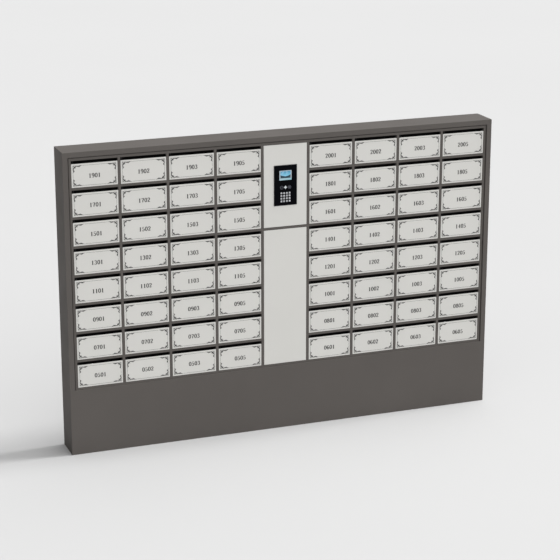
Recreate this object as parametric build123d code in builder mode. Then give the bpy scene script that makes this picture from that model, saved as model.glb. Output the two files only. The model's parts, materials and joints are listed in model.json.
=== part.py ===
from build123d import *
import os

os.makedirs("parts", exist_ok=True)

# Mailbox and parcel locker bank. X runs along the front, +Y into the cabinet, Z up.
# The origin is the bottom centre of the cabinet's box. The doors face -Y. Sizes in mm.

# Overall cabinet
cabinet_width = 2504.0
cabinet_depth = 180.0
cabinet_height = 1700.0
skin = 1.5
sheet = 1.2

# Door grid: nine equal columns, the middle one for the terminal and the parcel door
columns = 9
rows = 8
centre_column = 4
column_pitch = 269.5
row_pitch = 160.0
door_width = 253.0
door_height = 129.0
slot_height = 17.0
door_gap = 1.25
top_row_bottom = 1506.5

# Front: the surround stands proud of the fascia, the doors are flush with the fascia,
# and a groove runs round the fascia inside the surround
surround_width = 28.0
surround_proud = 5.0
surround_return = 20.0
plinth_top = 372.5
channel_depth = 20.0
groove_width = 5.5
groove_depth = 5.0
groove_flange = 18.0
flange_lap = 6.0

# Small radii and the flanges that join the panels
outer_radius = 1.0
channel_radius = 0.6
side_flange = 15.0
top_flange = 14.0
top_flange_front = 24.0
top_flange_back = 2.0

# Doors: a folded pan whose front sheet stands above the pan's top return
leaf_depth = 13.0
top_lip = 6.0
bend_radius = 2.0
pivot_x = 8.0
pivot_y = 5.0
rod_radius = 2.5
rod_end_gap = 2.0
hinge_hole_radius = 2.55
rail_hole_radius = 2.6
boss_height = 6.0
boss_right = 15.0
boss_depth = 11.0
control_bottom = 1186.5
control_top = 1651.25
parcel_bottom = 386.5
parcel_top = 1171.25

# Strike and latch, measured from a door's left edge, front and mid-height
strike_plate_x = (219.0, 241.0)
strike_plate_thickness = 2.0
strike_plate_half_height = 14.0
tongue_x = (223.0, 237.0)
tongue_reach = 36.0
tongue_half_thickness = 1.5
tongue_tip_radius = 4.0
tongue_hole_x = 230.0
tongue_hole_y = 28.0
tongue_hole_radius = 3.5
latch_left = 231.0
latch_y = (21.0, 78.0)
latch_half_height = 22.0
latch_edge_radius = 2.0
latch_slot_right = 244.0
latch_slot_back = 46.0
latch_slot_half_height = 3.0

# Sloped guard behind each letter slot
baffle_front = -61.0
baffle_fold = -46.0
baffle_back = -21.0
baffle_drop = 20.0
baffle_sheet = 1.0
baffle_end_gap = 0.5

# Terminal on the control door
terminal_width = 135.5
terminal_height = 229.0
terminal_z = 1420.5
terminal_proud = 2.5
terminal_radius = 3.0
terminal_edge = 0.8
terminal_cut_gap = 0.3
body_width = 129.0
body_height = 222.4
body_depth = 32.0
body_wall = 2.0
cavity_width = 124.6
cavity_height = 218.0
terminal_cable_radius = 10.0
post_x = 54.0
post_z = 100.0
post_radius = 3.0
front_width = 130.1
front_height = 223.6
front_thickness = 2.0
front_radius = 1.0
front_gap = 0.2
display_width = 71.0
display_height = 54.0
display_z = 1477.0
display_gap = 0.2
display_radius = 1.0
display_body_width = 86.0
display_body_height = 64.0
display_body_y = (2.2, 5.0)
lens_y = (0.2, 2.6)
key_size = 9.4
key_gap = 0.3
key_radius = 1.8
key_edge = 0.5
key_pitch_x = 16.1
key_pitch_z = 15.3
keys_each_way = 4
keypad_z = 1353.8
key_proud = 1.2
web_width = 66.0
web_height = 64.0
web_thickness = 1.2
web_gap = 0.3

# Circuit board behind the terminal's front, with a flat reader coil on its face. Each
# connector has its x span, its height off the board and its z span about the terminal's middle.
board_y = 5.0
board_thickness = 1.6
board_width = 118.0
board_height = 210.0
coil_z = 1411.0
coil_outer = (36.0, 21.0)
coil_inner = (33.0, 18.0)
coil_thickness = 0.6
board_connectors = (
    ((-20.0, 20.0), 7.4, (-80.0, -66.0)),
    ((-12.0, 12.0), 2.4, (30.0, 54.0)),
    ((20.0, 44.0), 6.4, (-20.0, -4.0)),
)

# Lock controller and power supply on the back panel, behind the terminal
controller_half_width = 90.0
controller_front = 44.0
controller_z = (1230.0, 1350.0)
controller_radius = 2.0
controller_ear = 10.0
controller_ear_inset = 20.0
connector_count = 8
connector_first = -77.0
connector_pitch = 22.0
connector_half_width = 8.0
connector_y = (50.0, 62.0)
connector_height = 8.0
supply_half_width = 50.0
supply_front = 52.0
supply_z = (1480.0, 1577.0)
supply_wall = 2.0
supply_shelf_back = 74.0
supply_shelf_height = 16.0
screw_count = 7
screw_first = -39.0
screw_pitch = 13.0
screw_half_width = 4.5
screw_front = 68.0
screw_rise = (2.0, 13.0)

# Back sheets: they meet on two of the partitions, have vents between the lock controller
# and the power supply, and are screwed to the side panels' flanges
back_seams = (3, 6)
back_seam_gap = 0.4
back_edge_radius = 1.0
vent_x = 55.0
vent_z = 1422.0
vent_width = 64.0
vent_height = 5.0
vent_pitch = 12.0
vents_each_side = 7
sink_z = 850.0
sink_pitch = 197.5
sinks_each_side = 9
sink_radius = 4.0
sink_floor_radius = 2.5
sink_depth = 0.8

# Fixings
anchor_x = 1100.0
anchor_y = 50.0
anchor_radius = 7.0
cable_radius = 25.0
base_thickness = 3.0
wall_bolt_radius = 5.0

# Derived
half_width = cabinet_width / 2
front = -cabinet_depth / 2
back = cabinet_depth / 2
fascia = front + surround_proud
first_left = -((columns - 1) * column_pitch + door_width) / 2
stile_width = column_pitch - door_width - 2 * door_gap
opening_width = door_width + 2 * door_gap
inner_width = half_width - skin
channel_back = fascia + channel_depth
groove_floor = fascia + groove_depth
fascia_outer = half_width - surround_width - groove_width
fascia_top = cabinet_height - surround_width - groove_width
flange_outer = fascia_outer + groove_flange
flange_top = fascia_top + groove_flange
terminal_face = fascia - terminal_proud
board_front = terminal_face + board_y
board_back = board_front + board_thickness
under_top = cabinet_height - skin
in_back = back - skin


def door_left(column):
    """Left edge of the doors in a column."""
    return first_left + column_pitch * column


def door_bottom(row):
    """Bottom edge of the mail doors in a row, counted from the top."""
    return top_row_bottom - row_pitch * row


def partition_x(index):
    """Middle of the partition at the left of a column."""
    return door_left(index) - door_gap - stile_width / 2


def slab(x, y, z, mode=Mode.ADD):
    """Rectangular block between the low and high bounds on each axis."""
    middle = (sum(x) / 2, sum(y) / 2, sum(z) / 2)
    with Locations(middle):
        Box(x[1] - x[0], y[1] - y[0], z[1] - z[0], mode=mode)


def plate(x, y, z):
    """A plain sheet or block as its own solid."""
    with BuildPart() as part:
        slab(x, y, z)
    return part.solid()


def save(name, solids):
    """Write one named piece, or one named group of equal pieces."""
    if len(solids) == 1:
        piece = solids[0]
    else:
        piece = Compound(solids)
    piece.label = name
    export_step(piece, f"parts/{name}.step")


def side_panel(side):
    """Outer side sheet with the inward flange that the back panel is fixed to."""
    with BuildPart() as part:
        slab((-half_width, -inner_width), (front, back), (0, under_top))
        flange_x = (-inner_width, -inner_width + side_flange)
        slab(flange_x, (in_back - skin, in_back), (base_thickness, under_top))
    solid = part.solid()
    return solid if side < 0 else solid.mirror(Plane.YZ)


def top_panel():
    """Top sheet with a down-turned flange at each end and softly bent edges."""
    with BuildPart() as part:
        slab((-half_width, half_width), (front, back), (under_top, cabinet_height))
        fillet(part.faces().sort_by(Axis.Z)[-1].edges(), outer_radius)
        flange_y = (front + top_flange_front, in_back - top_flange_back)
        for x in ((-inner_width, -inner_width + skin), (inner_width - skin, inner_width)):
            slab(x, flange_y, (under_top - top_flange, under_top))
    return part.solid()


def cut_wall_bolt_holes():
    """Four holes for bolts into a wall, each in the middle of a corner compartment."""
    bolt_x = door_left(columns - 1) + door_width / 2
    low = door_bottom(rows - 1) + door_height / 2
    high = door_bottom(0) + door_height / 2
    for x in (-bolt_x, bolt_x):
        for z in (low, high):
            with Locations(Location((x, back, z), (90, 0, 0))):
                Cylinder(wall_bolt_radius, 3 * skin, mode=Mode.SUBTRACT)


def cut_vents():
    """Two columns of round-ended vent slots."""
    with BuildSketch(Plane.XZ.offset(-back)) as slots:
        with Locations((0, vent_z)):
            with GridLocations(2 * vent_x, vent_pitch, 2, vents_each_side):
                SlotOverall(vent_width, vent_height)
    extrude(slots.sketch, amount=2 * skin, both=True, mode=Mode.SUBTRACT)


def cut_screw_sinks(side):
    """A row of shallow sinks for the screws into a side panel's flange."""
    x = side * (inner_width - side_flange / 2)
    for index in range(sinks_each_side):
        z = sink_z + sink_pitch * (index - (sinks_each_side - 1) / 2)
        with Locations(Location((x, back - sink_depth / 2, z), (-90, 0, 0))):
            Cone(sink_floor_radius, sink_radius, sink_depth, mode=Mode.SUBTRACT)


def back_sheet(left, right, side):
    """One back sheet, with the edges that meet its neighbours softened."""
    with BuildPart() as part:
        slab((left, right), (in_back, back), (0, under_top))
        outer = part.edges().filter_by(Axis.Z).group_by(Axis.Y)[-1]
        fillet([edge for edge in outer if abs(edge.center().X) < inner_width - skin], back_edge_radius)
        if side == 0:
            cut_vents()
        else:
            cut_wall_bolt_holes()
            cut_screw_sinks(side)
    return part.solid()


def back_sheets():
    """The three back sheets, from left to right."""
    seams = [partition_x(index) for index in back_seams]
    lefts = [-inner_width] + [seam + back_seam_gap / 2 for seam in seams]
    rights = [seam - back_seam_gap / 2 for seam in seams] + [inner_width]
    return [back_sheet(left, right, side) for left, right, side in zip(lefts, rights, (-1, 0, 1))]


def base_plate():
    """Floor plate with four anchor holes and a cable entry in the middle."""
    with BuildPart() as part:
        slab((-inner_width, inner_width), (front + skin, in_back), (0, base_thickness))
        for x in (-anchor_x, anchor_x):
            for y in (-anchor_y, anchor_y):
                with Locations((x, y, base_thickness / 2)):
                    Cylinder(anchor_radius, 3 * base_thickness, mode=Mode.SUBTRACT)
        with Locations((0, 0, base_thickness / 2)):
            Cylinder(cable_radius, 3 * base_thickness, mode=Mode.SUBTRACT)
    return part.solid()


def plinth_panel():
    """Tall front kick panel, flush with the surround, with returns at its top and ends."""
    with BuildPart() as part:
        slab((-inner_width, inner_width), (front, front + surround_return), (0, plinth_top))
        fillet(part.faces().sort_by(Axis.Y)[0].edges(), outer_radius)
        inside = (-inner_width + skin, inner_width - skin)
        slab(inside, (front + skin, front + surround_return), (0, plinth_top - skin), Mode.SUBTRACT)
        slab(
            (-inner_width, inner_width),
            (front + skin, front + surround_return),
            (0, base_thickness),
            Mode.SUBTRACT,
        )
    return part.solid()


def surround_upright(side):
    """Folded channel up one side of the front, mitred at its head."""
    outer = -inner_width
    inner = -half_width + surround_width
    with BuildPart() as part:
        slab((outer, inner), (front, front + surround_return), (plinth_top, under_top))
        slab(
            (outer + skin, inner - skin),
            (front + skin, front + surround_return),
            (plinth_top, under_top),
            Mode.SUBTRACT,
        )
        slab(
            (inner - skin, inner),
            (groove_floor, front + surround_return),
            (plinth_top, under_top),
            Mode.SUBTRACT,
        )
        with BuildSketch(Plane.XZ):
            mitre = inner - outer
            with BuildLine():
                Polyline((outer, under_top), (inner, under_top - mitre), (inner, under_top), close=True)
            make_face()
        extrude(amount=cabinet_depth, both=True, mode=Mode.SUBTRACT)
    solid = part.solid()
    return solid if side < 0 else solid.mirror(Plane.YZ)


def surround_head():
    """Folded channel across the top of the front, mitred at both ends."""
    low = cabinet_height - surround_width
    with BuildPart() as part:
        slab((-inner_width, inner_width), (front, front + surround_return), (low, under_top))
        slab(
            (-inner_width, inner_width),
            (front + skin, front + surround_return),
            (low + skin, under_top - skin),
            Mode.SUBTRACT,
        )
        slab(
            (-inner_width, inner_width),
            (groove_floor, front + surround_return),
            (low, low + skin),
            Mode.SUBTRACT,
        )
        mitre = under_top - low
        for side in (-1, 1):
            tip = side * inner_width
            with BuildSketch(Plane.XZ):
                with BuildLine():
                    Polyline((tip, under_top), (tip, low), (tip - side * mitre, low), close=True)
                make_face()
            extrude(amount=cabinet_depth, both=True, mode=Mode.SUBTRACT)
    return part.solid()


def fascia_stile(left, right):
    """Upright folded channel, open to the back, with a flange under the surround's head."""
    with BuildPart() as part:
        slab((left, right), (fascia, channel_back), (plinth_top, fascia_top))
        uprights = part.faces().sort_by(Axis.Y)[0].edges().filter_by(Axis.Z)
        fillet(uprights, channel_radius)
        slab(
            (left + skin, right - skin),
            (fascia + skin, channel_back),
            (plinth_top, fascia_top),
            Mode.SUBTRACT,
        )
        slab((left, right), (groove_floor, groove_floor + skin), (fascia_top - flange_lap, flange_top))
    return part.solid()


def end_stile(side):
    """Stile at one end of the fascia, with a flange under the surround's upright too."""
    with BuildPart() as part:
        add(fascia_stile(-fascia_outer, door_left(0) - door_gap))
        slab(
            (-flange_outer, -fascia_outer + skin),
            (groove_floor, groove_floor + skin),
            (plinth_top, flange_top),
        )
    solid = part.solid()
    return solid if side < 0 else solid.mirror(Plane.YZ)


def fascia_rail(column, bottom, top):
    """Folded channel across one column, with holes for the hinge rod."""
    left = door_left(column) - door_gap
    with BuildPart() as part:
        slab((left, left + opening_width), (fascia, channel_back), (bottom, top))
        bends = part.faces().sort_by(Axis.Y)[0].edges().filter_by(Axis.X)
        fillet(bends, channel_radius)
        slab(
            (left, left + opening_width),
            (fascia + skin, channel_back),
            (bottom + skin, top - skin),
            Mode.SUBTRACT,
        )
        with Locations((door_left(column) + pivot_x, fascia + pivot_y, (bottom + top) / 2)):
            Cylinder(rail_hole_radius, top - bottom + 2 * skin, mode=Mode.SUBTRACT)
    return part.solid()


def fascia_head_rail(column):
    """Rail over the top slot or door of a column, with a flange under the surround's head."""
    left = door_left(column) - door_gap
    with BuildPart() as part:
        add(fascia_rail(column, *head_rail))
        slab(
            (left, left + opening_width),
            (groove_floor, groove_floor + skin),
            (fascia_top - skin, flange_top),
        )
    return part.solid()


def shelf(column, top):
    """Floor of one compartment, which is the ceiling of the one below."""
    left = partition_x(column) + sheet / 2
    right = partition_x(column + 1) - sheet / 2
    return plate((left, right), (channel_back, in_back), (top - sheet, top))


def ceiling(column):
    """Closing sheet over the top compartment of a column."""
    slot_top = top_row_bottom + door_height + slot_height
    return shelf(column, slot_top + sheet)


def baffle(column, row):
    """Sloped guard behind a letter slot, hung from the sheet above."""
    left = partition_x(column) + sheet / 2 + baffle_end_gap
    right = partition_x(column + 1) - sheet / 2 - baffle_end_gap
    hang = door_bottom(row) + door_height + slot_height
    if row > 0:
        hang = door_bottom(row - 1) - door_gap - sheet
    low = door_bottom(row) + door_height - baffle_drop
    with BuildPart() as part:
        with BuildSketch(Plane.YZ.offset(left)):
            with BuildLine():
                Polyline(
                    (baffle_front, hang),
                    (baffle_fold, hang),
                    (baffle_back, low),
                    (baffle_back - baffle_sheet, low),
                    (baffle_fold - baffle_sheet, hang - baffle_sheet),
                    (baffle_front, hang - baffle_sheet),
                    close=True,
                )
            make_face()
        extrude(amount=right - left)
    return part.solid()


def hinge_rod(column):
    """Round bar that every door of a column turns on."""
    low = plinth_top + rod_end_gap
    high = fascia_top - rod_end_gap
    with BuildPart() as part:
        with Locations((door_left(column) + pivot_x, fascia + pivot_y, (low + high) / 2)):
            Cylinder(rod_radius, high - low)
    return part.solid()


def latch():
    """Electric latch on the right partition, its slot open to the front and the left."""
    right = door_width + door_gap + stile_width / 2 - sheet / 2
    with BuildPart() as part:
        slab((latch_left, right), latch_y, (-latch_half_height, latch_half_height))
        fillet(part.edges().filter_by(Axis.X), latch_edge_radius)
        slab(
            (latch_left, latch_slot_right),
            (latch_y[0], latch_slot_back),
            (-latch_slot_half_height, latch_slot_half_height),
            Mode.SUBTRACT,
        )
    return part.solid()


def latch_at(column, middle):
    """One latch at a door's mid-height."""
    return latch_body.moved(Location((door_left(column), fascia, middle)))


def door_leaf(height, cut_terminal=False):
    """Folded door pan with a drilled hinge block at each end of its left side."""
    pan_top = height - top_lip
    with BuildPart() as part:
        slab((0, door_width), (0, leaf_depth), (0, height))
        folded_edges = part.faces().sort_by(Axis.Y)[0].edges().sort_by(Axis.Z)[:-1]
        fillet(folded_edges, bend_radius)
        slab((0, door_width), (skin, leaf_depth), (pan_top, height), Mode.SUBTRACT)
        slab((skin, door_width - skin), (skin, leaf_depth), (skin, pan_top - skin), Mode.SUBTRACT)
        for z in ((skin, skin + boss_height), (pan_top - skin - boss_height, pan_top - skin)):
            slab((skin, boss_right), (skin, boss_depth), z)
        with Locations((pivot_x, pivot_y, height / 2)):
            Cylinder(hinge_hole_radius, height + 2 * skin, mode=Mode.SUBTRACT)
        if cut_terminal:
            middle = terminal_z - control_bottom
            half_width_cut = body_width / 2 + terminal_cut_gap
            half_height_cut = body_height / 2 + terminal_cut_gap
            slab(
                (door_width / 2 - half_width_cut, door_width / 2 + half_width_cut),
                (-skin, leaf_depth),
                (middle - half_height_cut, middle + half_height_cut),
                Mode.SUBTRACT,
            )
    return part.solid()


def strike(height):
    """Riveted plate with the drilled tongue that the latch catches."""
    middle = height / 2
    plate_back = skin + strike_plate_thickness
    plate_z = (middle - strike_plate_half_height, middle + strike_plate_half_height)
    tongue_z = (middle - tongue_half_thickness, middle + tongue_half_thickness)
    with BuildPart() as part:
        slab(strike_plate_x, (skin, plate_back), plate_z)
        slab(tongue_x, (plate_back, tongue_reach), tongue_z)
        tip = part.edges().filter_by(Axis.Z).sort_by(Axis.Y)[-2:]
        fillet(tip, tongue_tip_radius)
        with Locations((tongue_hole_x, tongue_hole_y, middle)):
            Cylinder(tongue_hole_radius, 4 * tongue_half_thickness, mode=Mode.SUBTRACT)
    return part.solid()


def mail_door(column, row):
    """One mail door with its strike, in place."""
    place = Location((door_left(column), fascia, door_bottom(row)))
    return [mail_leaf.moved(place), mail_strike.moved(place)]


def tall_door(bottom, top, cut_terminal):
    """A centre-column door with its strike, in place."""
    place = Location((door_left(centre_column), fascia, bottom))
    return [door_leaf(top - bottom, cut_terminal).moved(place), strike(top - bottom).moved(place)]


def terminal_housing():
    """Moulded tray set into the control door, with a rim over the door's skin."""
    body_back = fascia + body_depth
    with BuildPart() as part:
        with BuildSketch(Plane.XZ.offset(-terminal_face)):
            with Locations((0, terminal_z)):
                RectangleRounded(terminal_width, terminal_height, terminal_radius)
        extrude(amount=-terminal_proud)
        fillet(part.faces().sort_by(Axis.Y)[0].edges(), terminal_edge)
        slab(
            (-body_width / 2, body_width / 2),
            (fascia, body_back),
            (terminal_z - body_height / 2, terminal_z + body_height / 2),
        )
        with BuildSketch(Plane.XZ.offset(-terminal_face)):
            with Locations((0, terminal_z)):
                recess = (front_width + 2 * front_gap, front_height + 2 * front_gap)
                RectangleRounded(*recess, front_radius + front_gap)
        extrude(amount=-front_thickness, mode=Mode.SUBTRACT)
        slab(
            (-cavity_width / 2, cavity_width / 2),
            (terminal_face, body_back - body_wall),
            (terminal_z - cavity_height / 2, terminal_z + cavity_height / 2),
            Mode.SUBTRACT,
        )
        post_y = (board_back + body_back) / 2
        for x in (-post_x, post_x):
            for z in (-post_z, post_z):
                with Locations(Location((x, post_y, terminal_z + z), (90, 0, 0))):
                    Cylinder(post_radius, body_back - board_back)
        with Locations(Location((0, body_back, terminal_z), (90, 0, 0))):
            Cylinder(terminal_cable_radius, 4 * body_wall, mode=Mode.SUBTRACT)
    return part.solid()


def terminal_front():
    """Black front plate with a display window and sixteen key holes."""
    window = (display_width + 2 * display_gap, display_height + 2 * display_gap)
    key_hole = key_size + 2 * key_gap
    with BuildPart() as part:
        with BuildSketch(Plane.XZ.offset(-terminal_face)):
            with Locations((0, terminal_z)):
                RectangleRounded(front_width, front_height, front_radius)
            with Locations((0, display_z)):
                RectangleRounded(*window, display_radius + display_gap, mode=Mode.SUBTRACT)
            with Locations((0, keypad_z)):
                with GridLocations(key_pitch_x, key_pitch_z, keys_each_way, keys_each_way):
                    RectangleRounded(key_hole, key_hole, key_radius + key_gap, mode=Mode.SUBTRACT)
        extrude(amount=-front_thickness)
    return part.solid()


def display_module():
    """Display with a raised cover lens that fills the window."""
    body_y = (terminal_face + display_body_y[0], terminal_face + display_body_y[1])
    body_z = (display_z - display_body_height / 2, display_z + display_body_height / 2)
    with BuildPart() as part:
        slab((-display_body_width / 2, display_body_width / 2), body_y, body_z)
        with BuildSketch(Plane.XZ.offset(-(terminal_face + lens_y[0]))):
            with Locations((0, display_z)):
                RectangleRounded(display_width, display_height, display_radius)
        extrude(amount=-(lens_y[1] - lens_y[0]))
    return part.solid()


def coil_block(size, mode):
    """Flat block on the board's face, about the reader's middle."""
    slab(
        (-size[0], size[0]),
        (board_front - coil_thickness, board_front),
        (coil_z - size[1], coil_z + size[1]),
        mode,
    )


def terminal_board():
    """Circuit board behind the front, with the reader coil and its connectors."""
    board_z = (terminal_z - board_height / 2, terminal_z + board_height / 2)
    with BuildPart() as part:
        slab((-board_width / 2, board_width / 2), (board_front, board_back), board_z)
        coil_block(coil_outer, Mode.ADD)
        coil_block(coil_inner, Mode.SUBTRACT)
        for x, rise, z in board_connectors:
            slab(x, (board_back, board_back + rise), (terminal_z + z[0], terminal_z + z[1]))
    return part.solid()


def keypad():
    """Rubber moulding with sixteen raised keys on a common web."""
    web = terminal_face + front_thickness + web_gap
    cap = terminal_face - key_proud
    with BuildPart() as part:
        slab(
            (-web_width / 2, web_width / 2),
            (web, web + web_thickness),
            (keypad_z - web_height / 2, keypad_z + web_height / 2),
        )
        with BuildSketch(Plane.XZ.offset(-cap)):
            with Locations((0, keypad_z)):
                with GridLocations(key_pitch_x, key_pitch_z, keys_each_way, keys_each_way):
                    RectangleRounded(key_size, key_size, key_radius)
        extrude(amount=-(web - cap + web_thickness / 2))
        caps = part.faces().filter_by(Plane.XZ).sort_by(Axis.Y)[: keys_each_way**2]
        fillet(caps.edges(), key_edge)
    return part.solid()


def lock_controller():
    """Steel case with mounting ears and a row of lock connectors."""
    ear_half_width = controller_half_width + controller_ear
    ear_z = (controller_z[0] + controller_ear_inset, controller_z[1] - controller_ear_inset)
    with BuildPart() as part:
        slab((-controller_half_width, controller_half_width), (controller_front, in_back), controller_z)
        fillet(part.edges().filter_by(Axis.Y), controller_radius)
        slab((-ear_half_width, ear_half_width), (in_back - skin, in_back), ear_z)
        for index in range(connector_count):
            x = connector_first + connector_pitch * index
            slab(
                (x - connector_half_width, x + connector_half_width),
                connector_y,
                (controller_z[1], controller_z[1] + connector_height),
            )
    return part.solid()


def power_supply():
    """Enclosed power supply with an open terminal shelf at its bottom."""
    inside = supply_half_width - supply_wall
    shelf_top = supply_z[0] + supply_shelf_height
    rise = (supply_z[0] + screw_rise[0], supply_z[0] + screw_rise[1])
    with BuildPart() as part:
        slab((-supply_half_width, supply_half_width), (supply_front, in_back), supply_z)
        shelf_y = (supply_front, supply_shelf_back)
        slab((-inside, inside), shelf_y, (supply_z[0], shelf_top), Mode.SUBTRACT)
        for index in range(screw_count):
            x = screw_first + screw_pitch * index
            slab((x - screw_half_width, x + screw_half_width), (screw_front, supply_shelf_back), rise)
    return part.solid()


# Shells, stiles and rails
rail_bounds = []
for row in range(1, rows):
    rail_bounds.append((door_bottom(row) + door_height + slot_height, door_bottom(row - 1) - door_gap))
bottom_rail = (plinth_top, door_bottom(rows - 1) - door_gap)
head_rail = (top_row_bottom + door_height + slot_height, fascia_top)
centre_rail = (parcel_top + door_gap, control_bottom - door_gap)
mail_columns = [column for column in range(columns) if column != centre_column]

save("left_side_panel", [side_panel(-1)])
save("right_side_panel", [side_panel(1)])
save("top_panel", [top_panel()])
save("back_panel", back_sheets())
save("base_plate", [base_plate()])
save("plinth_panel", [plinth_panel()])
save("front_surround", [surround_upright(-1), surround_upright(1), surround_head()])

stiles = [end_stile(-1), end_stile(1)]
for column in range(1, columns):
    middle = partition_x(column)
    stiles.append(fascia_stile(middle - stile_width / 2, middle + stile_width / 2))
save("fascia_stiles", stiles)

rails = []
shelves = []
for column in range(columns):
    rails.append(fascia_rail(column, *bottom_rail))
    rails.append(fascia_head_rail(column))
    shelves.append(shelf(column, bottom_rail[1]))
    shelves.append(ceiling(column))
for column in mail_columns:
    for bottom, top in rail_bounds:
        rails.append(fascia_rail(column, bottom, top))
        shelves.append(shelf(column, top))
rails.append(fascia_rail(centre_column, *centre_rail))
shelves.append(shelf(centre_column, centre_rail[1]))
save("fascia_rails", rails)
save("compartment_shelves", shelves)

partitions = []
supports = []
partition_top = fascia_top - flange_lap
for index in range(columns + 1):
    x = (partition_x(index) - sheet / 2, partition_x(index) + sheet / 2)
    partitions.append(plate(x, (fascia + skin, in_back), (plinth_top, partition_top)))
    supports.append(plate(x, (front + surround_return + 1, in_back), (base_thickness, plinth_top)))
save("column_partitions", partitions)
save("plinth_supports", supports)

save("slot_baffles", [baffle(column, row) for column in mail_columns for row in range(rows)])
save("hinge_rods", [hinge_rod(column) for column in range(columns)])

# Latches, one for each door
latch_body = latch()
latches = []
for column in mail_columns:
    for row in range(rows):
        latches.append(latch_at(column, door_bottom(row) + door_height / 2))
latches.append(latch_at(centre_column, (control_bottom + control_top) / 2))
latches.append(latch_at(centre_column, (parcel_bottom + parcel_top) / 2))
save("latch_units", latches)

# Mail doors. The left bank has the odd floors, the right bank the even ones.
mail_leaf = door_leaf(door_height)
mail_strike = strike(door_height)
suffixes = ("01", "02", "03", "05")
for column in range(centre_column):
    for row in range(rows):
        number = f"{19 - 2 * row:02d}{suffixes[column]}"
        save(f"door_{number}", mail_door(column, row))
for column in range(centre_column + 1, columns):
    group = []
    for row in range(rows):
        group.extend(mail_door(column, row))
    save(f"doors_even_floors_{suffixes[column - centre_column - 1]}", group)

# Centre column
save("control_door", tall_door(control_bottom, control_top, True))
save("parcel_door", tall_door(parcel_bottom, parcel_top, False))
save("terminal_housing", [terminal_housing()])
save("terminal_front", [terminal_front()])
save("display_module", [display_module()])
save("terminal_board", [terminal_board()])
save("keypad", [keypad()])
save("lock_controller", [lock_controller()])
save("power_supply", [power_supply()])
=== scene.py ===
"""Looks for the mailbox and parcel locker bank: paint, printed door numbers, corner ornaments, terminal."""

import json
import math

import bmesh
import bpy
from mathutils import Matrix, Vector


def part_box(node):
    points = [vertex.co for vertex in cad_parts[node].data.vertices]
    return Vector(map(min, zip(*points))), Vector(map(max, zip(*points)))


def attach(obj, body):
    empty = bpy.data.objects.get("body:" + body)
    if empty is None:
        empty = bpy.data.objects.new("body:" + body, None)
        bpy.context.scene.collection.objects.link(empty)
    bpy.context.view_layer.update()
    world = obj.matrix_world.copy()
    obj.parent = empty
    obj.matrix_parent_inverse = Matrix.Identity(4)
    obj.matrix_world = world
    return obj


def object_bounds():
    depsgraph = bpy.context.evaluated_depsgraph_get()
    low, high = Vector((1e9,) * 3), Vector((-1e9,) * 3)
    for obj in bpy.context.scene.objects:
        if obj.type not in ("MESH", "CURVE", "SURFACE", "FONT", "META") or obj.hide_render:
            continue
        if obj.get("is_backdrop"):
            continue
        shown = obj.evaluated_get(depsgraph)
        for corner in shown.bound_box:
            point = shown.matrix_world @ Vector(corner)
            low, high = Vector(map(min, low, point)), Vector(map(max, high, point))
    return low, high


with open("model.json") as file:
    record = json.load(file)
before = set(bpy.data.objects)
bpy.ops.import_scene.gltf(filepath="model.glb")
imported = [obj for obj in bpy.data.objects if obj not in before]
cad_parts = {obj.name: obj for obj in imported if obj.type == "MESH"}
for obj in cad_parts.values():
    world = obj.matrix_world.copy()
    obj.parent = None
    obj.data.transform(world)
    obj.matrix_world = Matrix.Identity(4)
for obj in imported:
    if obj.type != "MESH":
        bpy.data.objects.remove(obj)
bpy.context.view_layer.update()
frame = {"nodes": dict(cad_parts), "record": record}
nodes = frame["nodes"]

MM = 0.001


# ---------------------------------------------------------------- node helpers


class Nodes:
    """A material's node tree, with short calls for the nodes used here."""

    def __init__(self, name):
        self.material = bpy.data.materials.new(name)
        self.material.use_nodes = True
        self.tree = self.material.node_tree
        self.tree.nodes.clear()
        self.out = self.add("ShaderNodeOutputMaterial")
        self.shader = self.add("ShaderNodeBsdfPrincipled")
        self.link(self.shader.outputs["BSDF"], self.out.inputs["Surface"])
        self.place = self.add("ShaderNodeTexCoord").outputs["Object"]

    def add(self, kind):
        return self.tree.nodes.new(kind)

    def link(self, source, target):
        self.tree.links.new(source, target)

    def feed(self, socket, value):
        """Sets a socket to a number, or links it to another socket."""
        if hasattr(value, "links"):
            self.link(value, socket)
        else:
            socket.default_value = value

    def noise(self, scale, detail=2.0, roughness=0.5, place=None):
        node = self.add("ShaderNodeTexNoise")
        node.inputs["Scale"].default_value = scale
        node.inputs["Detail"].default_value = detail
        node.inputs["Roughness"].default_value = roughness
        self.link(place or self.place, node.inputs["Vector"])
        return node.outputs["Fac"]

    def math(self, operation, a, b=0.0, c=0.0):
        node = self.add("ShaderNodeMath")
        node.operation = operation
        for socket, value in zip(node.inputs, (a, b, c)):
            self.feed(socket, value)
        return node.outputs[0]

    def span(self, value, low, high, to_low=0.0, to_high=1.0):
        """Maps low..high to to_low..to_high, clamped."""
        node = self.add("ShaderNodeMapRange")
        for socket, number in zip(node.inputs, (value, low, high, to_low, to_high)):
            self.feed(socket, number)
        return node.outputs[0]

    def mix(self, share, a, b):
        """Mixes two colours. The colour sockets share their names with others, so they go by number."""
        node = self.add("ShaderNodeMix")
        node.data_type = "RGBA"
        self.feed(node.inputs["Factor"], share)
        self.feed(node.inputs[6], a)
        self.feed(node.inputs[7], b)
        return node.outputs[2]

    def axes(self):
        node = self.add("ShaderNodeSeparateXYZ")
        self.link(self.place, node.inputs[0])
        return node.outputs

    def bump(self, height, distance, strength=1.0):
        node = self.add("ShaderNodeBump")
        node.inputs["Strength"].default_value = strength
        node.inputs["Distance"].default_value = distance
        self.link(height, node.inputs["Height"])
        self.link(node.outputs["Normal"], self.shader.inputs["Normal"])

    def set(self, **values):
        for name, value in values.items():
            self.feed(self.shader.inputs[name.replace("_", " ")], value)


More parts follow.
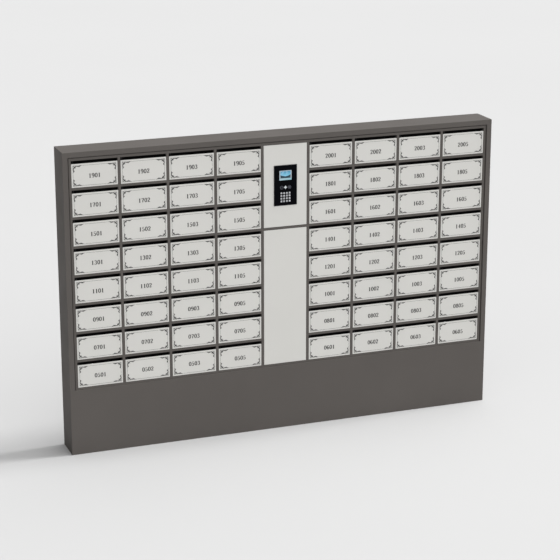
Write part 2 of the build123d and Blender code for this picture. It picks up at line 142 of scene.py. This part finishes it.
def rgb(red, green, blue):
    """A display colour (0 to 255) as the linear colour that a shader takes."""
    linear = []
    for level in (red, green, blue):
        share = level / 255
        linear.append(share / 12.92 if share <= 0.04045 else ((share + 0.055) / 1.055) ** 2.4)
    return (*linear, 1.0)


def scaled(colour, share):
    return (*(channel * share for channel in colour[:3]), 1.0)


# ---------------------------------------------------------------- materials

FOOT_HEIGHT = 0.12
FOOT_SHADE = 0.72
PEEL_SHARE = 1.6
POLISHED_GLOSS = 0.04
SPANGLE_SCALE = 160
TRACK_SCALE = 90
DISPLAY_STRENGTH = 0.85
HILL_CURVE = 8.0
HILL_RISE = 1.5 * MM
LENS_FACE_DEPTH = 0.6 * MM


def powder_coat(name, colour, roughness, gloss=0.3, grain=1100.0, depth=0.03 * MM, cloud=0.04, foot=0.0):
    """Baked powder paint: fine orange peel, slight clouding, and darker patches towards the floor."""
    m = Nodes(name)
    cloudy = m.noise(2.3, 3.0)
    tint = m.mix(m.span(cloudy, 0.3, 0.7), scaled(colour, 1 - cloud), scaled(colour, 1 + cloud))
    # Darker copy of the paint mixed in patches over the lowest FOOT_HEIGHT, strongest at the floor
    if foot:
        nearness = m.span(m.axes()["Z"], 0.0, FOOT_HEIGHT, foot, 0.0)
        patches = m.span(m.noise(9.0, 4.0), 0.35, 0.7)
        tint = m.mix(m.math("MULTIPLY", nearness, patches), tint, scaled(colour, FOOT_SHADE))
    fine = m.noise(grain, 3.0)
    peel = m.noise(grain / 4, 1.0)
    m.bump(m.math("ADD", fine, m.math("MULTIPLY", peel, PEEL_SHARE)), depth)
    rubbed = m.span(m.noise(5.5, 4.0), 0.3, 0.75, roughness - 0.05, roughness + 0.06)
    m.set(Base_Color=tint, Roughness=rubbed)
    m.shader.inputs["Specular IOR Level"].default_value = gloss
    return m.material


def galvanised(name, colour, roughness):
    """Zinc-coated steel with faint spangle."""
    m = Nodes(name)
    cells = m.add("ShaderNodeTexVoronoi")
    cells.inputs["Scale"].default_value = SPANGLE_SCALE
    m.link(m.place, cells.inputs["Vector"])
    spangle = m.span(cells.outputs["Distance"], 0.0, 0.8)
    m.set(
        Base_Color=m.mix(spangle, scaled(colour, 0.82), scaled(colour, 1.1)),
        Roughness=m.span(spangle, 0, 1, roughness - 0.08, roughness + 0.08),
        Metallic=0.85,
    )
    m.bump(m.noise(420.0, 2.0), 0.02 * MM)
    return m.material


def dark_steel(name):
    """Black-oxide bar, with fine lines round its length."""
    m = Nodes(name)
    stretched = m.add("ShaderNodeMapping")
    stretched.inputs["Scale"].default_value = (60, 60, 2400)
    m.link(m.place, stretched.inputs["Vector"])
    turned = m.noise(1.0, 3.0, place=stretched.outputs[0])
    m.set(
        Base_Color=m.mix(turned, rgb(24, 24, 25), rgb(44, 44, 46)),
        Roughness=m.span(turned, 0.2, 0.8, 0.38, 0.55),
        Metallic=0.9,
    )
    return m.material


def moulded(name, colour, roughness, grain=1500.0, depth=0.04 * MM):
    """Textured plastic or rubber."""
    m = Nodes(name)
    m.set(
        Base_Color=m.mix(m.noise(35.0, 2.0), scaled(colour, 0.92), scaled(colour, 1.08)),
        Roughness=m.span(m.noise(60.0, 3.0), 0.3, 0.7, roughness - 0.05, roughness + 0.05),
    )
    m.bump(m.noise(grain, 2.0), depth)
    return m.material


def gloss_black(name):
    """Polished black front of the terminal, with faint wiping marks in its gloss."""
    m = Nodes(name)
    marks = m.noise(40.0, 5.0, 0.6)
    m.set(
        Base_Color=m.mix(marks, rgb(2, 2, 5), rgb(5, 6, 10)),
        Roughness=m.span(marks, 0.35, 0.7, 0.12, 0.24),
    )
    m.shader.inputs["Specular IOR Level"].default_value = POLISHED_GLOSS
    return m.material


def circuit_board(name):
    """Green solder mask with copper tracks under it."""
    m = Nodes(name)
    tracks = m.add("ShaderNodeTexBrick")
    tracks.inputs["Scale"].default_value = TRACK_SCALE
    tracks.inputs["Mortar Size"].default_value = 0.03
    tracks.inputs["Color1"].default_value = rgb(18, 84, 46)
    tracks.inputs["Color2"].default_value = rgb(14, 70, 40)
    tracks.inputs["Mortar"].default_value = rgb(40, 120, 66)
    turned = m.add("ShaderNodeMapping")
    turned.inputs["Rotation"].default_value = (math.pi / 2, 0, 0)
    m.link(m.place, turned.inputs["Vector"])
    m.link(turned.outputs[0], tracks.inputs["Vector"])
    m.set(Base_Color=tracks.outputs["Color"], Roughness=m.span(m.noise(50.0), 0.3, 0.7, 0.3, 0.42))
    return m.material


def printed(name, colour):
    """Screen-printed ink, a little uneven."""
    m = Nodes(name)
    m.set(
        Base_Color=m.mix(m.noise(120.0, 2.0), scaled(colour, 0.85), scaled(colour, 1.15)),
        Roughness=0.55,
    )
    return m.material


def display_picture(name, low, high):
    """Lit display: a pale frame and foot bar round a generic picture of sky over hills."""
    m = Nodes(name)
    middle = (low + high) / 2
    across, _, up = m.axes()
    x = m.math("SUBTRACT", across, middle.x)
    z = m.math("SUBTRACT", up, PICTURE_Z)

    def inside(value, edge):
        return m.math("LESS_THAN", m.math("ABSOLUTE", value), edge)

    picture = m.math("MULTIPLY", inside(x, PICTURE_HALF_X), inside(z, PICTURE_HALF_Z))
    clouds = m.noise(70.0, 3.0)
    sky = m.mix(m.span(z, -0.25 * PICTURE_HALF_Z, PICTURE_HALF_Z), rgb(126, 205, 236), rgb(62, 142, 176))
    sky = m.mix(m.span(clouds, 0.48, 0.7, 0.0, 0.75), sky, rgb(176, 214, 244))
    bowl = m.math("MULTIPLY", m.math("POWER", m.math("ABSOLUTE", x), 2.0), HILL_CURVE)
    rough = m.span(m.noise(90.0), 0.3, 0.7, -HILL_RISE, HILL_RISE)
    ridge = m.math("ADD", m.math("ADD", bowl, -0.4 * PICTURE_HALF_Z), rough)
    hills = m.math("LESS_THAN", z, ridge)
    scene_colour = m.mix(hills, sky, rgb(8, 52, 66))
    bar = m.mix(m.span(x, -0.03, 0.03), rgb(176, 204, 214), rgb(150, 196, 208))
    border = m.mix(m.math("LESS_THAN", z, -PICTURE_HALF_Z), rgb(176, 190, 200), bar)
    colour = m.mix(picture, border, scene_colour)
    edge = m.math("MULTIPLY", inside(x, LENS_HALF_X), inside(m.math("SUBTRACT", up, middle.z), LENS_HALF_Z))
    front = m.math("LESS_THAN", m.axes()[1], low.y + LENS_FACE_DEPTH)
    lit = m.math("MULTIPLY", edge, front)
    m.set(Base_Color=m.mix(lit, rgb(14, 15, 18), rgb(20, 24, 28)), Roughness=0.18)
    m.set(Emission_Color=m.mix(lit, rgb(0, 0, 0), colour))
    m.shader.inputs["Emission Strength"].default_value = DISPLAY_STRENGTH
    return m.material


# ---------------------------------------------------------------- printed marks


def heading(line, i, closed):
    """Which way a line of points runs at one of them."""
    count = len(line)
    before = line[(i - 1) % count] if closed or i > 0 else line[i]
    after = line[(i + 1) % count] if closed or i < count - 1 else line[i]
    return Vector((after[0] - before[0], after[1] - before[1])).normalized()


class Marks:
    """Thin closed shapes printed on a face that looks along -Y.

    Shapes made one after another differ slightly in thickness, so that where they cross their
    fronts don't lie in one plane.
    """

    thickness = 0.15 * MM
    sunk = 0.05 * MM
    step = 0.008 * MM
    steps = 5

    def __init__(self, face):
        self.face = face
        self.points = []
        self.faces = []
        self.layers = 0

    def depths(self):
        """Front and back of the next shape."""
        near = self.face - self.thickness - self.step * (self.layers % self.steps)
        self.layers += 1
        return near, self.face + self.sunk

    def loop_prism(self, outline):
        """A closed outline as a thin prism."""
        count = len(outline)
        start = len(self.points)
        for depth in self.depths():
            self.points += [(x, depth, z) for x, z in outline]
        self.faces.append([start + i for i in range(count)])
        self.faces.append([start + count + i for i in reversed(range(count))])
        for i in range(count):
            j = (i + 1) % count
            self.faces.append([start + j, start + i, start + count + i, start + count + j])

    def stroke(self, line, widths, closed=False):
        """A pen stroke along a line of points, with a width at each point."""
        count = len(line)
        depths = self.depths()
        start = len(self.points)
        for i, (x, z) in enumerate(line):
            along = heading(line, i, closed)
            side = Vector((-along.y, along.x)) * widths[i] / 2
            for depth in depths:
                self.points.append((x + side.x, depth, z + side.y))
                self.points.append((x - side.x, depth, z - side.y))
        for i in range(count if closed else count - 1):
            a = start + 4 * i
            b = start + 4 * ((i + 1) % count)
            self.faces += [[a, b, b + 1, a + 1], [a + 2, a + 3, b + 3, b + 2]]
            self.faces += [[a, a + 2, b + 2, b], [a + 1, b + 1, b + 3, a + 3]]
        if not closed:
            a = start
            b = start + 4 * (count - 1)
            self.faces += [[a, a + 1, a + 3, a + 2], [b, b + 2, b + 3, b + 1]]

    def dot(self, x, z, radius, sides=10):
        turn = 2 * math.pi / sides
        angles = [turn * i for i in range(sides)]
        self.loop_prism([(x + radius * math.cos(a), z + radius * math.sin(a)) for a in angles])

    def build(self, name, material, body):
        """Makes the shapes so far into one piece that rides on a body."""
        mesh = bpy.data.meshes.new(name)
        mesh.from_pydata(self.points, [], self.faces)
        mesh.validate()
        mesh.materials.append(material)
        piece = bpy.data.objects.new(name, mesh)
        bpy.context.scene.collection.objects.link(piece)
        outward(mesh)
        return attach(piece, body)


def outward(mesh):
    """Makes every face look outwards."""
    work = bmesh.new()
    work.from_mesh(mesh)
    bmesh.ops.recalc_face_normals(work, faces=work.faces)
    work.to_mesh(mesh)
    work.free()


def arc(x, z, rx, rz, start, end, count):
    """Points on an ellipse between two angles in degrees."""
    points = []
    for i in range(count + 1):
        angle = math.radians(start + (end - start) * i / count)
        points.append((x + rx * math.cos(angle), z + rz * math.sin(angle)))
    return points


# Digits are drawn in a box one unit high. First the widths of their strokes, then their spacing.
THIN = 0.07
THICK = 0.21
SERIF = 0.045
HAIRLINE = 0.05
BAR = 0.12
DIGIT_WIDTH = 0.54
ADVANCE = 0.7
STRETCH = 1.2
SIDE_GAP = 0.02


def digit_shapes():
    """Each digit's strokes: pens thick upright and thin across, bars of one thickness, and dots."""
    shapes = {
        "0": [("loop", arc(0.27, 0.5, 0.185, 0.465, 90, 450, 22)[:-1])],
        "1": [
            ("bar", [(0.27, 0.03), (0.27, 0.97)], THICK + 0.02),
            ("bar", [(0.27, 0.95), (0.12, 0.85)], HAIRLINE),
            ("bar", [(0.09, 0.02), (0.45, 0.02)], SERIF),
        ],
        "2": [
            ("pen", arc(0.25, 0.73, 0.17, 0.24, 170, -25, 12) + [(0.25, 0.36), (0.10, 0.12)]),
            ("bar", [(0.06, 0.06), (0.46, 0.06)], BAR),
            ("bar", [(0.455, 0.08), (0.475, 0.24)], THIN),
            ("dot", (0.12, 0.71), 0.06),
        ],
        "3": [
            ("pen", arc(0.24, 0.745, 0.15, 0.225, 150, -90, 12)),
            ("pen", arc(0.24, 0.265, 0.185, 0.24, 90, -150, 14)),
            ("dot", (0.12, 0.79), 0.055),
            ("dot", (0.11, 0.2), 0.06),
        ],
        "4": [
            ("bar", [(0.35, 0.03), (0.35, 0.97)], THICK),
            ("bar", [(0.34, 0.96), (0.05, 0.27)], THIN),
            ("bar", [(0.04, 0.27), (0.5, 0.27)], HAIRLINE),
            ("bar", [(0.22, 0.02), (0.48, 0.02)], SERIF),
        ],
        "5": [
            ("bar", [(0.11, 0.92), (0.43, 0.92)], BAR),
            ("bar", [(0.115, 0.94), (0.105, 0.5)], THIN),
            ("pen", arc(0.23, 0.305, 0.195, 0.28, 130, -150, 15)),
            ("dot", (0.11, 0.19), 0.06),
        ],
        "6": [
            ("pen", arc(0.29, 0.5, 0.21, 0.465, 62, 235, 14)),
            ("loop", arc(0.28, 0.29, 0.17, 0.255, 90, 450, 18)[:-1]),
            ("dot", (0.39, 0.84), 0.055),
        ],
        "7": [
            ("bar", [(0.06, 0.92), (0.47, 0.92)], BAR),
            ("pen", [(0.46, 0.9), (0.36, 0.62), (0.27, 0.34), (0.25, 0.03)]),
            ("bar", [(0.07, 0.92), (0.05, 0.74)], THIN),
        ],
        "8": [
            ("loop", arc(0.27, 0.745, 0.14, 0.22, 90, 450, 18)[:-1]),
            ("loop", arc(0.27, 0.265, 0.175, 0.245, 90, 450, 18)[:-1]),
        ],
    }
    # A nine is a six turned upside down
    turned = []
    for kind, *rest in shapes["6"]:
        if kind == "dot":
            (x, z), radius = rest
            turned.append(("dot", (DIGIT_WIDTH - x, 1 - z), radius))
        else:
            turned.append((kind, [(DIGIT_WIDTH - x, 1 - z) for x, z in rest[0]]))
    shapes["9"] = turned
    return shapes


DIGITS = digit_shapes()


def pen_widths(line, closed):
    """Thick where the line runs upright, thin where it runs across."""
    upright = [abs(heading(line, i, closed).y) for i in range(len(line))]
    return [THIN + (THICK - THIN) * share ** 1.6 for share in upright]


def write(marks, text, x, z, height):
    """Prints digits centred on a point."""
    left = x - ADVANCE * height * len(text) / 2 + SIDE_GAP * height
    base = z - height / 2
    for place, character in enumerate(text):
        start = left + ADVANCE * height * place

        def at(point):
            return (start + point[0] * height * STRETCH, base + point[1] * height)

        for kind, *rest in DIGITS[character]:
            if kind == "dot":
                (dot_x, dot_z), radius = rest
                marks.dot(*at((dot_x, dot_z)), radius * height)
            elif kind == "bar":
                line, width = rest
                marks.stroke([at(p) for p in line], [width * height] * 2)
            else:
                line = rest[0]
                closed = kind == "loop"
                widths = [w * height for w in pen_widths(line, closed)]
                marks.stroke([at(p) for p in line], widths, closed)


def smooth(line, widths, steps=3):
    """A flowing curve through the given points, with widths that flow too."""
    knots = [(*point, width) for point, width in zip(line, widths)]
    knots = [knots[0], *knots, knots[-1]]
    path = []
    for run in zip(knots, knots[1:], knots[2:], knots[3:]):
        for t in (step / steps for step in range(steps)):
            path.append([
                b + 0.5 * t * (c - a + t * (2 * a - 5 * b + 4 * c - d + t * (3 * (b - c) + d - a)))
                for a, b, c, d in zip(*run)
            ])
    path.append(knots[-1])
    return [knot[:2] for knot in path], [knot[2] for knot in path]


# One corner ornament, in mm inwards from a door's corner: lines with a width at each point, and
# dots with a radius. It is mirrored into all four corners.
CORNER_ANGLE = (((9.0, 36.0), (9.0, 9.0), (31.0, 9.0)), (1.2, 2.6, 1.2))
CORNER_CURVES = (
    (((28.0, 11.5), (24.0, 14.0), (19.5, 17.4), (16.0, 21.0), (13.2, 25.5), (11.4, 31.0)),
     (1.6, 4.8, 6.2, 6.2, 4.8, 1.6)),
    (((27.0, 12.2), (33.0, 13.2), (40.0, 13.0), (48.0, 11.6), (56.0, 9.6)), (1.6, 4.4, 5.2, 4.8, 1.4)),
    (((11.6, 30.0), (13.0, 35.0), (12.8, 40.5), (9.8, 46.5)), (1.6, 4.6, 5.0, 1.4)),
    (((37.0, 13.5), (40.5, 17.0), (45.0, 17.2), (46.5, 14.8)), (0.7, 1.3, 1.3, 0.8)),
    (((13.6, 35.0), (17.0, 37.5), (17.2, 41.0), (14.8, 42.5)), (0.7, 1.3, 1.3, 0.8)),
    (((19.5, 20.5), (23.5, 21.5), (25.0, 18.5), (22.8, 16.8)), (0.8, 1.4, 1.4, 0.8)),
)
CORNER_LINES = [CORNER_ANGLE, *(smooth(*curve) for curve in CORNER_CURVES)]
CORNER_DOTS = ((14.0, 14.0, 2.6), (59.0, 9.4, 1.5), (9.4, 49.5, 1.5), (36.0, 9.2, 1.2), (22.5, 24.5, 1.1))
CORNER_DOT_SIDES = 8
RULE_INSET = 10 * MM
RULE_WIDTH = 1.1 * MM
RULE_GAP_X = 53 * MM
RULE_GAP_Z = 44 * MM


def ornament(marks, low, high):
    """A corner ornament in each corner of a door, and the thin rule that joins them."""
    for side_x, x in ((1, low.x), (-1, high.x)):
        for side_z, z in ((1, low.z), (-1, high.z)):

            def at(u, v):
                return (x + side_x * u * MM, z + side_z * v * MM)

            for line, widths in CORNER_LINES:
                marks.stroke([at(u, v) for u, v in line], [w * MM for w in widths])
            for u, v, radius in CORNER_DOTS:
                marks.dot(*at(u, v), radius * MM, CORNER_DOT_SIDES)
    left, right = low.x + RULE_INSET, high.x - RULE_INSET
    bottom, top = low.z + RULE_INSET, high.z - RULE_INSET
    for z in (bottom, top):
        marks.stroke([(left + RULE_GAP_X, z), (right - RULE_GAP_X, z)], [RULE_WIDTH] * 2)
    for x in (left, right):
        marks.stroke([(x, bottom + RULE_GAP_Z), (x, top - RULE_GAP_Z)], [RULE_WIDTH] * 2)


# ---------------------------------------------------------------- places read from the frame

first_door_low, first_door_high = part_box("door_1901")
door_size = first_door_high - first_door_low
fascia_y = first_door_low.y
NUMBER_HEIGHT = 24 * MM
NUMBER_DROP = 4 * MM
PRINT_SUFFIXES = ("01", "02", "03", "05")
ROWS = 8
TOP_STOREY = 20

lens_low, lens_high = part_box("display_module")
PICTURE_HALF_X = 29.8 * MM
PICTURE_HALF_Z = 19.5 * MM
PICTURE_Z = (lens_low.z + lens_high.z) / 2 + 3.5 * MM
LENS_HALF_X = 35.5 * MM
LENS_HALF_Z = 27.0 * MM


# ---------------------------------------------------------------- paint the CAD nodes

FRAME_COLOUR = rgb(88, 84, 81)
DOOR_COLOUR = rgb(202, 201, 197)

by_slot = {
    "frame_paint": powder_coat("frame_paint", FRAME_COLOUR, 0.62, gloss=0.12, foot=0.2),
    "door_paint": powder_coat("door_paint", DOOR_COLOUR, 0.42, grain=1400.0, depth=0.02 * MM, cloud=0.012),
    "inner_sheet": powder_coat("inner_sheet", rgb(46, 46, 47), 0.6),
    "baffle_black": powder_coat("baffle_black", rgb(12, 12, 12), 0.8),
    "rod_steel": dark_steel("rod_steel"),
    "latch_case": galvanised("latch_case", rgb(150, 152, 154), 0.42),
    "controller_case": powder_coat("controller_case", rgb(168, 170, 172), 0.45),
    "supply_case": galvanised("supply_case", rgb(190, 191, 192), 0.36),
    "terminal_plastic": moulded("terminal_plastic", rgb(16, 16, 18), 0.45),
    "terminal_gloss": gloss_black("terminal_gloss"),
    "display": display_picture("display", lens_low, lens_high),
    "board": circuit_board("board"),
    "key_rubber": moulded("key_rubber", rgb(184, 185, 189), 0.5),
}
door_ink = printed("door_ink", rgb(40, 39, 38))
key_ink = printed("key_ink", rgb(112, 114, 120))
pale_ink = printed("pale_ink", rgb(196, 202, 206))
dim_ink = printed("dim_ink", rgb(84, 86, 98))

for entry in frame["record"]["subparts"]:
    data = nodes[entry["node"]].data
    data.materials.clear()
    data.materials.append(by_slot[entry["material_slot"]])


# ---------------------------------------------------------------- door numbers and ornaments


def print_doors(name, body, doors):
    """Numbers and ornaments for the doors that one body carries."""
    numbers = Marks(fascia_y)
    corners = Marks(fascia_y)
    for text, low, high in doors:
        write(numbers, text, (low.x + high.x) / 2, (low.z + high.z) / 2 - NUMBER_DROP, NUMBER_HEIGHT)
        ornament(corners, low, high)
    numbers.build(f"number_{name}", door_ink, body)
    corners.build(f"ornament_{name}", door_ink, body)


for node in nodes:
    if node.startswith("door_"):
        number = node[len("door_"):]
        low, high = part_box(node)
        print_doors(number, node, [(number, low, high)])

for suffix in PRINT_SUFFIXES:
    node = f"doors_even_floors_{suffix}"
    low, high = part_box(node)
    pitch = (high.z - low.z - door_size.z) / (ROWS - 1)
    doors = []
    for row in range(ROWS):
        storey = TOP_STOREY - 2 * row
        top = high.z - pitch * row
        door_low = Vector((low.x, low.y, top - door_size.z))
        door_high = Vector((high.x, high.y, top))
        doors.append((f"{storey:02d}{suffix}", door_low, door_high))
    print_doors(f"even_floors_{suffix}", node, doors)


# ---------------------------------------------------------------- terminal marks

RING_SIDES = 20
ICON_DROP = 11.6 * MM
STAR_RADIUS = 10.5 * MM
STAR_WAIST = 0.4
LEFT_ICON_X = -22 * MM
LEFT_RING_RADIUS = 8.6 * MM
LEFT_RING_WIDTH = 2.0 * MM
BAR_REACH = 4 * MM
BAR_WIDTH = 1.6 * MM
RIGHT_ICON_X = 23.5 * MM
RIGHT_RING_RADIUS = 9.4 * MM
RIGHT_RING_WIDTH = 1.2 * MM
LINE_REACH = 6 * MM
LINE_WIDTH = 2.4 * MM
LINE_PITCH = 4.2 * MM
KEY_PITCH_X = 16.1 * MM
KEY_PITCH_Z = 15.3 * MM
LEGEND_HEIGHT = 5.4 * MM
LEGEND_REACH = 2.0 * MM
LEGEND_WIDTH = 0.6 * MM
LEGENDS = (
    ("1", "2", "3", "up"),
    ("4", "5", "6", "down"),
    ("7", "8", "9", "bar"),
    ("cross", "0", "ring", "tick"),
)
# The signs' strokes, where 1 is the reach
SIGNS = {
    "up": [((-1, -1 / 2), (0, 1 / 2), (1, -1 / 2))],
    "down": [((-1, 1 / 2), (0, -1 / 2), (1, 1 / 2))],
    "bar": [((-1, 0), (1, 0))],
    "cross": [((-1, -1), (1, 1)), ((-1, 1), (1, -1))],
    "tick": [((-1, 0), (-1 / 3, -1), (1, 1))],
}


def ring(marks, x, z, radius, width):
    """A full circle of one thickness."""
    marks.stroke(arc(x, z, radius, radius, 0, 360, RING_SIDES)[:-1], [width] * RING_SIDES, True)


def terminal_icons():
    """A pale four-pointed star between a dim ring with a bar and a dim ring with three lines."""
    low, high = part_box("terminal_front")
    row = (low.z + high.z) / 2 - ICON_DROP
    bright = Marks(low.y)
    r = STAR_RADIUS
    w = STAR_WAIST * r
    star = ((0, r), (-w, w), (-r, 0), (-w, -w), (0, -r), (w, -w), (r, 0), (w, w))
    bright.loop_prism([(x, row + z) for x, z in star])
    bright.build("icon_centre", pale_ink, "control_door")
    dim = Marks(low.y)
    ring(dim, LEFT_ICON_X, row, LEFT_RING_RADIUS, LEFT_RING_WIDTH)
    dim.stroke([(LEFT_ICON_X - BAR_REACH, row), (LEFT_ICON_X + BAR_REACH, row)], [BAR_WIDTH] * 2)
    for i in range(3):
        z = row + LINE_PITCH * (1 - i)
        dim.stroke([(RIGHT_ICON_X - LINE_REACH, z), (RIGHT_ICON_X + LINE_REACH, z)], [LINE_WIDTH] * 2)
    ring(dim, RIGHT_ICON_X, row, RIGHT_RING_RADIUS, RIGHT_RING_WIDTH)
    dim.build("icons_side", dim_ink, "control_door")


def key_legends():
    """Digits on the ten number keys and plain signs on the other six."""
    low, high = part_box("keypad")
    middle_x = (low.x + high.x) / 2
    middle_z = (low.z + high.z) / 2
    legends = Marks(low.y)
    for row, line in enumerate(LEGENDS):
        for column, sign in enumerate(line):
            x = middle_x + (column - 1.5) * KEY_PITCH_X
            z = middle_z + (1.5 - row) * KEY_PITCH_Z
            if sign in DIGITS:
                write(legends, sign, x, z, LEGEND_HEIGHT)
            elif sign == "ring":
                ring(legends, x, z, LEGEND_REACH, LEGEND_WIDTH)
            else:
                for points in SIGNS[sign]:
                    place = [(x + u * LEGEND_REACH, z + v * LEGEND_REACH) for u, v in points]
                    legends.stroke(place, [LEGEND_WIDTH] * len(place))
    legends.build("key_legends", key_ink, "keypad")


terminal_icons()
key_legends()


# ---------------------------------------------------------------- floor, light and camera

FLOOR_HALF = 60.0
FLOOR_GLOSS = 0.1
DARKEST_ROOM = 0.05
SENSOR_WIDTH = 36
LENS = 119.345
CAMERA_PLACE = (-3.4949, -9.3997, 3.8556)
CAMERA_TURN = 0.35598
CAMERA_TILT = 0.29108


def make_floor():
    """A plain pale floor that runs far out on every side."""
    corners = [(x * FLOOR_HALF, y * FLOOR_HALF, 0) for x, y in ((-1, -1), (1, -1), (1, 1), (-1, 1))]
    mesh = bpy.data.meshes.new("floor")
    mesh.from_pydata(corners, [], [(0, 1, 2, 3)])
    floor = bpy.data.objects.new("floor", mesh)
    bpy.context.scene.collection.objects.link(floor)
    m = Nodes("floor_paint")
    m.set(Base_Color=m.mix(m.noise(0.4, 2.0), rgb(190, 190, 190), rgb(192, 192, 192)), Roughness=0.9)
    m.shader.inputs["Specular IOR Level"].default_value = FLOOR_GLOSS
    mesh.materials.append(m.material)
    floor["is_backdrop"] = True


def sun(name, azimuth, elevation, strength, softness):
    """A soft distant light. Azimuth 0 comes from the front and 90 from the right."""
    lamp = bpy.data.lights.new(name, "SUN")
    lamp.energy = strength
    lamp.angle = math.radians(softness)
    holder = bpy.data.objects.new(name, lamp)
    bpy.context.scene.collection.objects.link(holder)
    a = math.radians(azimuth)
    e = math.radians(elevation)
    source = Vector((math.sin(a) * math.cos(e), -math.cos(a) * math.cos(e), math.sin(e)))
    holder.rotation_euler = source.to_track_quat("Z", "Y").to_euler()


def surroundings(strength, lean, seen_as):
    """A white room that is brighter towards one side: lean is how much along each axis.

    It lights the object like that, and looks like one plain pale wall behind it.
    """
    world = bpy.data.worlds.new("studio")
    world.use_nodes = True
    tree = world.node_tree
    backdrop = tree.nodes["Background"]
    backdrop.inputs["Color"].default_value = (1, 1, 1, 1)
    facing = tree.nodes.new("ShaderNodeTexCoord")
    along = tree.nodes.new("ShaderNodeVectorMath")
    along.operation = "DOT_PRODUCT"
    along.inputs[1].default_value = lean
    level = tree.nodes.new("ShaderNodeMath")
    level.operation = "MULTIPLY_ADD"
    level.inputs[1].default_value = strength
    level.inputs[2].default_value = strength
    limited = tree.nodes.new("ShaderNodeMath")
    limited.operation = "MAXIMUM"
    limited.inputs[1].default_value = DARKEST_ROOM
    path = tree.nodes.new("ShaderNodeLightPath")
    wall = tree.nodes.new("ShaderNodeMix")
    wall.inputs["B"].default_value = seen_as
    for source, target in (
        (facing.outputs["Generated"], along.inputs[0]),
        (along.outputs["Value"], level.inputs[0]),
        (level.outputs[0], limited.inputs[0]),
        (path.outputs["Is Camera Ray"], wall.inputs["Factor"]),
        (limited.outputs[0], wall.inputs["A"]),
        (wall.outputs["Result"], backdrop.inputs["Strength"]),
    ):
        tree.links.new(source, target)
    bpy.context.scene.world = world


def make_camera():
    """The camera in front, left of the middle and above, looking slightly down."""
    data = bpy.data.cameras.new("camera")
    data.sensor_width = SENSOR_WIDTH
    data.lens = LENS
    holder = bpy.data.objects.new("camera", data)
    holder.location = CAMERA_PLACE
    holder.rotation_euler = (math.pi / 2 - CAMERA_TILT, 0, -CAMERA_TURN)
    bpy.context.scene.collection.objects.link(holder)
    bpy.context.scene.camera = holder


make_floor()
sun("key", azimuth=87, elevation=48, strength=2.75, softness=16)
surroundings(strength=0.78, lean=(0.95, -0.6, 0.3), seen_as=0.84)
make_camera()
bpy.context.scene.view_settings.view_transform = "Standard"

low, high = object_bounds()
